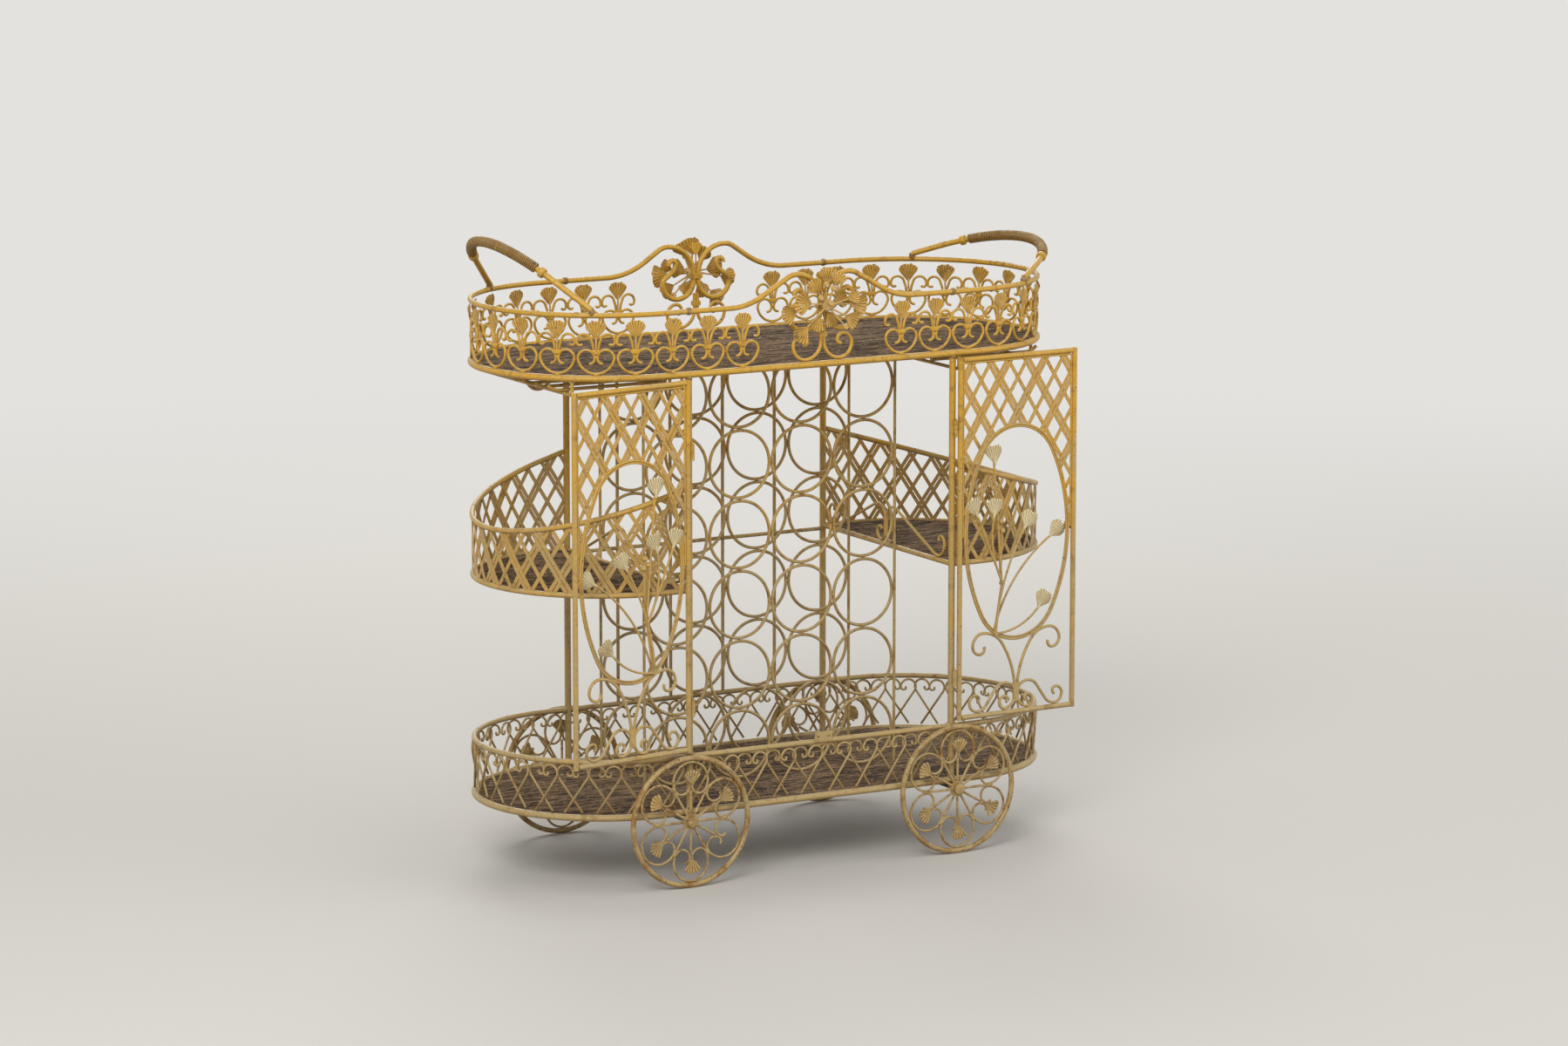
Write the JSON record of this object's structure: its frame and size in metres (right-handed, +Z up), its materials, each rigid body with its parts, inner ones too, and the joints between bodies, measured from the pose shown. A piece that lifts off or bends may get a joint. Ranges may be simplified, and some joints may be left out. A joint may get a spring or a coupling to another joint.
{
  "type": "serving trolley",
  "caption": "Long wrought iron serving trolley with scrollwork galleries, a bottle rack of rings, side baskets, hinged lattice doors, arched handles and spoked wheels.",
  "frame": {"origin": "on the floor, midway between the wheels, under the middle of the trays", "axes": "+X along the trolley to the right as seen from the doors, +Y from the doors to the back, +Z up"},
  "size_m": [0.9444, 0.4675, 0.9618],
  "materials": {
    "painted_iron": "ochre paint over wrought iron, rubbed and chipped",
    "painted_wire": "thinly painted wire with rust showing through",
    "painted_leaf": "ochre paint, pale on the pleats",
    "worn_strip": "flat strip, paint worn at the edges",
    "grip_wire": "wound wire, paint rubbed by hands",
    "woven_mat": "woven twigs, dark and dry",
    "bare_steel": "bare turned steel with a brown tone"
  },
  "bodies": {
    "stand": {"axle_bearings": "painted_iron", "axle_left": "bare_steel", "axle_right": "bare_steel", "back_brace": "painted_iron", "back_rods": "painted_iron", "basket_left_floor": "woven_mat", "basket_left_lattice": "worn_strip", "basket_left_lower_rim": "painted_iron", "basket_left_top_rim": "painted_iron", "basket_right_floor": "woven_mat", "basket_right_lattice": "worn_strip", "basket_right_lower_rim": "painted_iron", "basket_right_top_rim": "painted_iron", "bouquet_front": "painted_leaf", "bouquet_rear": "painted_leaf", "crest_front": "painted_iron", "crest_rear": "painted_iron", "door_catch": "painted_iron", "door_hinge_pins": "painted_iron", "glass_hangers": "painted_iron", "grip_left": "grip_wire", "grip_right": "grip_wire", "handle_left": "painted_iron", "handle_right": "painted_iron", "lower_gallery_hearts": "painted_wire", "lower_rail_left": "painted_iron", "lower_rail_right": "painted_iron", "lower_rails_straight": "painted_iron", "lower_tray_floor": "woven_mat", "lower_tray_rim": "painted_iron", "post_front_left": "painted_iron", "post_front_right": "painted_iron", "post_rear_left": "painted_iron", "post_rear_right": "painted_iron", "rack_rings_front": "painted_wire", "rack_rings_rear": "painted_wire", "rack_uprights": "painted_iron", "top_gallery_leaves": "painted_leaf", "top_gallery_scrolls": "painted_wire", "top_rail_left": "painted_iron", "top_rail_right": "painted_iron", "top_tray_floor": "woven_mat", "top_tray_rim": "painted_iron", "tray_crossbars": "painted_iron"},
    "left_door": {"door_left_frame": "painted_iron", "door_left_lattice": "worn_strip", "door_left_leaves": "painted_leaf", "door_left_scrollwork": "painted_wire"},
    "right_door": {"door_right_frame": "painted_iron", "door_right_lattice": "worn_strip", "door_right_leaves": "painted_leaf", "door_right_scrollwork": "painted_wire"},
    "front_left_wheel": {"wheel_front_left": "painted_iron", "wheel_front_left_leaves": "painted_leaf"},
    "front_right_wheel": {"wheel_front_right": "painted_iron", "wheel_front_right_leaves": "painted_leaf"},
    "rear_left_wheel": {"wheel_rear_left": "painted_iron", "wheel_rear_left_leaves": "painted_leaf"},
    "rear_right_wheel": {"wheel_rear_right": "painted_iron", "wheel_rear_right_leaves": "painted_leaf"}
  },
  "joints": [
    {"name": "left_door_hinge", "type": "hinge", "parent": "stand", "child": "left_door", "pos_m": [-0.225, -0.2065, 0.46], "axis": [0, 0, 1], "range_deg": [-12, 171]},
    {"name": "right_door_hinge", "type": "hinge", "parent": "stand", "child": "right_door", "pos_m": [0.225, -0.2065, 0.46], "axis": [0, 0, 1], "range_deg": [-182, 1]},
    {"name": "front_left_wheel_spin", "type": "hinge", "parent": "stand", "child": "front_left_wheel", "pos_m": [-0.23, -0.208, 0.1], "axis": [0, 1, 0], "continuous": true},
    {"name": "front_right_wheel_spin", "type": "hinge", "parent": "stand", "child": "front_right_wheel", "pos_m": [0.23, -0.208, 0.1], "axis": [0, 1, 0], "continuous": true},
    {"name": "rear_left_wheel_spin", "type": "hinge", "parent": "stand", "child": "rear_left_wheel", "pos_m": [-0.23, 0.208, 0.1], "axis": [0, 1, 0], "continuous": true},
    {"name": "rear_right_wheel_spin", "type": "hinge", "parent": "stand", "child": "rear_right_wheel", "pos_m": [0.23, 0.208, 0.1], "axis": [0, 1, 0], "continuous": true}
  ]
}
